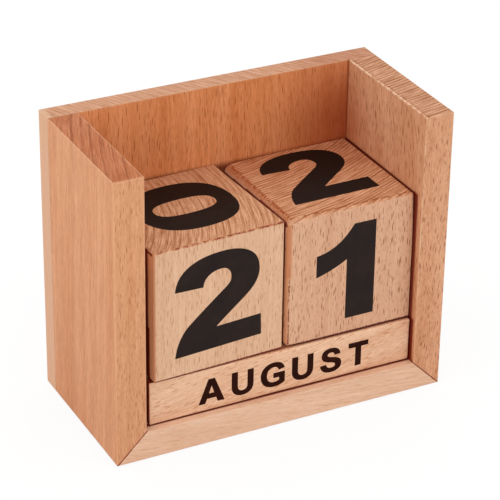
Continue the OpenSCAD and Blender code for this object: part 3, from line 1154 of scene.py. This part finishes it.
# %% The letters of the twelve months
LETTERS = {
    "A": (7.6, [[
        (0, 0), (2.9, 7.8), (4.7, 7.8), (7.6, 0), (5.75, 0), (5.2, 1.6), (2.4, 1.6), (1.85, 0),
    ], [
        (2.9, 3), (3.8, 5.8), (4.7, 3),
    ]]),
    "B": (6.5, [[
        (0, 0), (0, 7.8), (3.7, 7.8), (5.2, 7.8, 6.1, 7, 6.1, 5.8), (6.1, 5, 5.7, 4.4, 5, 4.1),
        (5.9, 3.8, 6.5, 3.1, 6.5, 2.2), (6.5, 0.9, 5.5, 0, 3.9, 0),
    ], [
        (1.7, 6.4), (3.3, 6.4), (4, 6.4, 4.4, 6.1, 4.4, 5.6), (4.4, 5.1, 4, 4.8, 3.3, 4.8), (1.7, 4.8),
    ], [
        (1.7, 3.5), (3.5, 3.5), (4.3, 3.5, 4.75, 3.1, 4.75, 2.5), (4.75, 1.8, 4.3, 1.4, 3.5, 1.4),
        (1.7, 1.4),
    ]]),
    "C": (7.2, [[
        (7.1, 5.4), (6.7, 7, 5.5, 7.9, 3.8, 7.9), (1.5, 7.9, 0, 6.3, 0, 3.9),
        (0, 1.5, 1.5, -0.1, 3.8, -0.1), (5.5, -0.1, 6.7, 0.8, 7.2, 2.5), (5.5, 3),
        (5.2, 1.9, 4.7, 1.4, 3.8, 1.4), (2.5, 1.4, 1.75, 2.3, 1.75, 3.9), (1.75, 5.5, 2.5, 6.4, 3.8, 6.4),
        (4.7, 6.4, 5.2, 5.9, 5.4, 5),
    ]]),
    "D": (6.9, [[
        (0, 0), (0, 7.8), (3.2, 7.8), (5.6, 7.8, 6.9, 6.3, 6.9, 3.9), (6.9, 1.5, 5.6, 0, 3.2, 0),
    ], [
        (1.7, 6.4), (3, 6.4), (4.4, 6.4, 5.15, 5.5, 5.15, 3.9), (5.15, 2.3, 4.4, 1.4, 3, 1.4), (1.7, 1.4),
    ]]),
    "E": (6.1, [[
        (0, 0), (0, 7.8), (6, 7.8), (6, 6.4), (1.7, 6.4), (1.7, 4.7), (5.6, 4.7), (5.6, 3.4), (1.7, 3.4),
        (1.7, 1.4), (6.1, 1.4), (6.1, 0),
    ]]),
    "F": (5.7, [[
        (0, 0), (0, 7.8), (5.7, 7.8), (5.7, 6.4), (1.7, 6.4), (1.7, 4.6), (5.2, 4.6), (5.2, 3.2),
        (1.7, 3.2), (1.7, 0),
    ]]),
    "G": (7.3, [[
        (3.9, 4.3), (7.3, 4.3), (7.3, 1), (6.5, 0.3, 5.3, -0.1, 4, -0.1), (1.6, -0.1, 0, 1.5, 0, 3.9),
        (0, 6.3, 1.6, 7.9, 4, 7.9), (5.8, 7.9, 6.9, 7.1, 7.2, 5.6), (5.5, 5.3),
        (5.3, 6.1, 4.8, 6.5, 4, 6.5), (2.6, 6.5, 1.75, 5.5, 1.75, 3.9), (1.75, 2.3, 2.6, 1.3, 4, 1.3),
        (4.7, 1.3, 5.3, 1.5, 5.7, 1.85), (5.7, 2.9), (3.9, 2.9),
    ]]),
    "H": (6.5, [[
        (0, 0), (0, 7.8), (1.7, 7.8), (1.7, 4.7), (4.8, 4.7), (4.8, 7.8), (6.5, 7.8), (6.5, 0), (4.8, 0),
        (4.8, 3.3), (1.7, 3.3), (1.7, 0),
    ]]),
    "I": (1.7, [[(0, 0), (0, 7.8), (1.7, 7.8), (1.7, 0)]]),
    "J": (5.4, [[
        (3.7, 7.8), (5.4, 7.8), (5.4, 2.6), (5.4, 0.8, 4.4, -0.1, 2.7, -0.1), (1, -0.1, 0, 0.8, 0, 2.6),
        (1.6, 2.8), (1.6, 1.8, 2, 1.3, 2.7, 1.3), (3.4, 1.3, 3.7, 1.8, 3.7, 2.7),
    ]]),
    "L": (5.6, [[(0, 0), (0, 7.8), (1.7, 7.8), (1.7, 1.4), (5.6, 1.4), (5.6, 0)]]),
    "M": (8, [[
        (0, 0), (0, 7.8), (2.5, 7.8), (4, 2.5), (5.5, 7.8), (8, 7.8), (8, 0), (6.4, 0), (6.4, 6.1),
        (4.8, 0), (3.2, 0), (1.6, 6.1), (1.6, 0),
    ]]),
    "N": (6.5, [[
        (0, 0), (0, 7.8), (1.7, 7.8), (4.9, 2.7), (4.9, 7.8), (6.5, 7.8), (6.5, 0), (4.8, 0), (1.6, 5.1),
        (1.6, 0),
    ]]),
    "O": (7.8, [oval(3.9, 3.9, 3.9, 4), oval(3.9, 3.9, 2.1, 2.6)]),
    "P": (6.2, [[
        (0, 0), (0, 7.8), (3.5, 7.8), (5.3, 7.8, 6.2, 6.9, 6.2, 5.3), (6.2, 3.8, 5.3, 2.9, 3.5, 2.9),
        (1.7, 2.9), (1.7, 0),
    ], [
        (1.7, 6.4), (3.2, 6.4), (4.1, 6.4, 4.45, 6, 4.45, 5.35), (4.45, 4.7, 4.1, 4.3, 3.2, 4.3),
        (1.7, 4.3),
    ]]),
    "R": (7, [[
        (0, 0), (0, 7.8), (3.8, 7.8), (5.6, 7.8, 6.5, 7, 6.5, 5.6), (6.5, 4.5, 5.9, 3.7, 4.8, 3.4), (7, 0),
        (5, 0), (3, 3.2), (1.7, 3.2), (1.7, 0),
    ], [
        (1.7, 6.4), (3.5, 6.4), (4.4, 6.4, 4.75, 6.1, 4.75, 5.5), (4.75, 4.9, 4.4, 4.6, 3.5, 4.6),
        (1.7, 4.6),
    ]]),
    "S": (6.5, [[
        (6.1, 5.6), (6, 7.1, 4.9, 7.9, 3.2, 7.9), (1.5, 7.9, 0.4, 7.1, 0.4, 5.65),
        (0.4, 4.4, 1.2, 3.7, 2.9, 3.3), (4.2, 3, 4.7, 2.8, 4.7, 2.2), (4.7, 1.6, 4.2, 1.25, 3.4, 1.25),
        (2.4, 1.25, 1.9, 1.7, 1.75, 2.6), (0, 2.45), (0.2, 0.8, 1.4, -0.1, 3.4, -0.1),
        (5.3, -0.1, 6.5, 0.8, 6.5, 2.3), (6.5, 3.7, 5.6, 4.3, 3.9, 4.7), (2.6, 5, 2.1, 5.2, 2.1, 5.75),
        (2.1, 6.25, 2.6, 6.55, 3.2, 6.55), (4, 6.55, 4.35, 6.2, 4.45, 5.5),
    ]]),
    "T": (6.1, [[(2.2, 0), (2.2, 6.4), (0, 6.4), (0, 7.8), (6.1, 7.8), (6.1, 6.4), (3.9, 6.4), (3.9, 0)]]),
    "U": (6.5, [[
        (0, 7.8), (1.7, 7.8), (1.7, 3.1), (1.7, 1.9, 2.3, 1.3, 3.25, 1.3), (4.2, 1.3, 4.8, 1.9, 4.8, 3.1),
        (4.8, 7.8), (6.5, 7.8), (6.5, 3.2), (6.5, 1.1, 5.3, -0.1, 3.25, -0.1), (1.2, -0.1, 0, 1.1, 0, 3.2),
    ]]),
    "V": (7.4, [[(0, 7.8), (1.85, 7.8), (3.7, 2.3), (5.55, 7.8), (7.4, 7.8), (4.6, 0), (2.8, 0)]]),
    "Y": (7.3, [[
        (0, 7.8), (2, 7.8), (3.7, 4.9), (5.4, 7.8), (7.3, 7.8), (4.5, 3.2), (4.5, 0), (2.8, 0), (2.8, 3.2),
    ]]),
}
CAP_HEIGHT = 7.8
PRINTED_HEIGHT = 7.4
print("figures:", len(FIGURES), "letters:", len(LETTERS))

# %% [markdown]
# The ink stands a hair above the wood. Each outline becomes a Bezier curve, the curve is filled and given
# that thickness, and the result is a closed mesh, which is then laid on its face of the block.

# %% From outlines to a thin closed mesh
INK = 0.02
CURVE_STEPS = 10


def add_outline(curve, outline):
    """Adds one closed outline to a curve, stretch by stretch."""
    knots = [stretch[-2:] for stretch in outline]
    if knots[0] == knots[-1]:
        knots.pop()
    spline = curve.splines.new("BEZIER")
    spline.bezier_points.add(len(knots) - 1)
    spline.use_cyclic_u = True
    points = spline.bezier_points
    for point, knot in zip(points, knots):
        point.co = (*knot, 0)
        point.handle_left_type = point.handle_right_type = "FREE"
        point.handle_left = point.handle_right = point.co
    for place, stretch in enumerate(outline[1:], 1):
        if len(stretch) == 6:
            points[place - 1].handle_right = (stretch[0], stretch[1], 0)
            points[place % len(knots)].handle_left = (stretch[2], stretch[3], 0)


def spread_ink(mesh, amount):
    """Moves the rim of a thin flat mesh outwards, as wet ink spreads into the fibres."""
    soft = bmesh.new()
    soft.from_mesh(mesh)
    bmesh.ops.remove_doubles(soft, verts=soft.verts, dist=0.001)
    bmesh.ops.recalc_face_normals(soft, faces=soft.faces)
    moves = []
    for vert in soft.verts:
        walls = [face.normal for face in vert.link_faces if abs(face.normal.z) < 0.5]
        outwards = sum(walls, Vector()).normalized()
        moves.append(outwards * amount / max(outwards.dot(walls[0]), 0.5))
    for vert, step in zip(soft.verts, moves):
        vert.co += step
    soft.to_mesh(mesh)
    soft.free()


def inked(outlines, move, spread):
    """A thin closed mesh of the outlines, in millimetres, laid down by the matrix move."""
    curve = bpy.data.curves.new("outline", "CURVE")
    curve.dimensions = "2D"
    curve.fill_mode = "BOTH"
    curve.extrude = INK
    curve.resolution_u = CURVE_STEPS
    for outline in outlines:
        add_outline(curve, outline)
    mesh = as_mesh(put("outline", curve))
    if spread > 0:
        spread_ink(mesh, spread)
    mesh.transform(move)
    return mesh


# %% Which way each face reads
FACES = {
    "front": ((1, 0, 0), (0, 0, 1)),
    "back": ((-1, 0, 0), (0, 0, 1)),
    "right": ((0, 1, 0), (0, 0, 1)),
    "left": ((0, -1, 0), (0, 0, 1)),
    "top": ((1, 0, 0), (0, 1, 0)),
    "bottom": ((1, 0, 0), (0, -1, 0)),
    "rolled_back": ((1, 0, 0), (0, 0, -1)),
}


def on_face(node, face, shift, turn=0.0):
    """The matrix that lays flat work in millimetres onto a face of a block."""
    across, upwards = (Vector(axis) for axis in FACES[face])
    out = across.cross(upwards)
    reach = abs(out.dot(half_size_of(node)))
    frame_of_face = Matrix((across, upwards, out)).transposed().to_4x4()
    return (
        placed(node)
        @ Matrix.Diagonal((MM, MM, MM, 1))
        @ Matrix.Translation(out * reach)
        @ frame_of_face
        @ Matrix.Translation((*shift, 0))
        @ Matrix.Rotation(math.radians(turn), 4, "Z")
    )


# %% [markdown]
# ## The ink
# Screen printed black is never a single black: it lies thicker here and thinner there, takes a little
# sheen, and shows the grain under it. On the sawn end of a cube it soaks in and dries browner. The small
# letters of the bars are printed thin and matt. So the two inks share one recipe and differ in their
# values.

# %% The recipe for an ink
SPECK_SHARE = 0.5
SOAKED_IN = 0.9
INK_RELIEF = 0.2
INK_RELIEF_DEPTH = 0.05


def ink_finish(name, thick, thin, soaked, gloss):
    """An ink: its colours where it lies thick, where it lies thin and on a level face, and its gloss."""
    material, tree, place = new_finish(name)
    place = vectors("SCALE", place, 1 / MM)
    cover = noise(place, (6, 6, 6), 3.0, 0.6)
    speck = noise(place, (0.25, 0.25, 0.25), 2.0, 0.6)
    cover = sums("MULTIPLY_ADD", about_nought(speck), SPECK_SHARE, cover)
    level = square_to(add(tree, "ShaderNodeNewGeometry").outputs["Normal"], UP)
    shade = stained(blend_colours(ramp(cover, 0.3, 0.75), thick, thin), level, SOAKED_IN, soaked)
    dress(tree, shade, ramp(cover, 0.2, 0.8, 0.5, 0.65), gloss, speck, INK_RELIEF, INK_RELIEF_DEPTH)
    return material


# %% The two inks
figure_ink = ink_finish("figure_ink", colour(28, 16, 13), colour(42, 28, 23), colour(20, 5, 0), 0.15)
letter_ink = ink_finish("letter_ink", colour(38, 10, 3), colour(50, 18, 8), colour(40, 12, 4), 0.05)

# %% [markdown]
# ## Printing the blocks
# The tens cube carries 0 to 5 and the units cube 0, 1, 2, 6, 7 and 8, so that with the 6 turned over for a
# 9 every day of the month can be set. The twelve months are on the four long sides of the three bars.
# Rolling a bar towards the front brings the next month up the right way. Printing by hand sets each figure
# slightly off the middle and slightly turned.

# %% One mesh of ink for each block
def print_block(node, works, name, ink, spread=0.0):
    """Joins the printed work of a block into one piece, which rides with it."""
    joined = bmesh.new()
    for outlines, move in works:
        joined.from_mesh(inked(outlines, move, spread))
    bmesh.ops.remove_doubles(joined, verts=joined.verts, dist=0.001 * MM)
    bmesh.ops.recalc_face_normals(joined, faces=joined.faces)
    mesh = bpy.data.meshes.new(name)
    joined.to_mesh(mesh)
    joined.free()
    mesh.materials.append(ink)
    piece = put(name, mesh)
    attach(piece, node)
    return piece


CUBE_PRINTS = {
    "tens_cube": [
        ("front", "2", (-0.2, 1), 1.6), ("top", "0", (0.5, 0.9), 91), ("right", "1", (0.3, 0.2), 0),
        ("left", "3", (0, 0.4), 0.5), ("back", "4", (-0.3, 0), -0.5), ("bottom", "5", (0.2, 0.3), 0),
    ],
    "units_cube": [
        ("front", "1", (-1.3, -0.25), 0), ("top", "2", (0, 2.35), 0.75), ("right", "0", (0.2, 0), 0.5),
        ("left", "6", (0, 0.3), -0.4), ("back", "7", (0.4, -0.2), 0), ("bottom", "8", (0, 0.4), 0),
    ],
}
for node, prints in CUBE_PRINTS.items():
    works = [(FIGURES[figure], on_face(node, face, shift, turn)) for face, figure, shift, turn in prints]
    figures = print_block(node, works, node + "_figures", figure_ink)
    print(figures.name, len(figures.data.polygons), "faces")

# %% The names of the months
MONTHS = {
    "month_bar_front": ("AUGUST", "MAY", "JUNE", "JULY"),
    "month_bar_middle": ("JANUARY", "FEBRUARY", "MARCH", "APRIL"),
    "month_bar_rear": ("OCTOBER", "NOVEMBER", "DECEMBER", "SEPTEMBER"),
}
BAR_FACES = ("front", "top", "rolled_back", "bottom")
WIDE_GAP = 2.35
LONGEST_NAME = 66.0
NAME_SPREAD = 0.09
NAME_SHIFT = (0.6, -0.4)


def lettering(word):
    """The outlines of a word about its middle. A long word is set closer."""
    widths = [LETTERS[letter][0] for letter in word]
    gap = min(WIDE_GAP, (LONGEST_NAME - sum(widths)) / (len(word) - 1))
    x = -(sum(widths) + gap * (len(word) - 1)) / 2
    outlines = []
    for letter, width in zip(word, widths):
        for outline in LETTERS[letter][1]:
            outlines.append([
                tuple(
                    number + x if place % 2 == 0 else (number / CAP_HEIGHT - 0.5) * PRINTED_HEIGHT
                    for place, number in enumerate(stretch)
                )
                for stretch in outline
            ])
        x += width + gap
    return outlines


for bar, names in MONTHS.items():
    works = [(lettering(word), on_face(bar, face, NAME_SHIFT)) for face, word in zip(BAR_FACES, names)]
    month_print = print_block(bar, works, bar + "_names", letter_ink, NAME_SPREAD)
    print(month_print.name, len(month_print.data.polygons), "faces")

# %% [markdown]
# ## The tray
# The boards' shapes are right as the CAD model has them, mitres and all, so they stay and only get their
# wood.

# %% Wood on the boards
for board in ("left_side", "right_side", "base_board", "back_panel"):
    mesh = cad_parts[board].data
    mesh.materials.clear()
    mesh.materials.append(finishes[board])
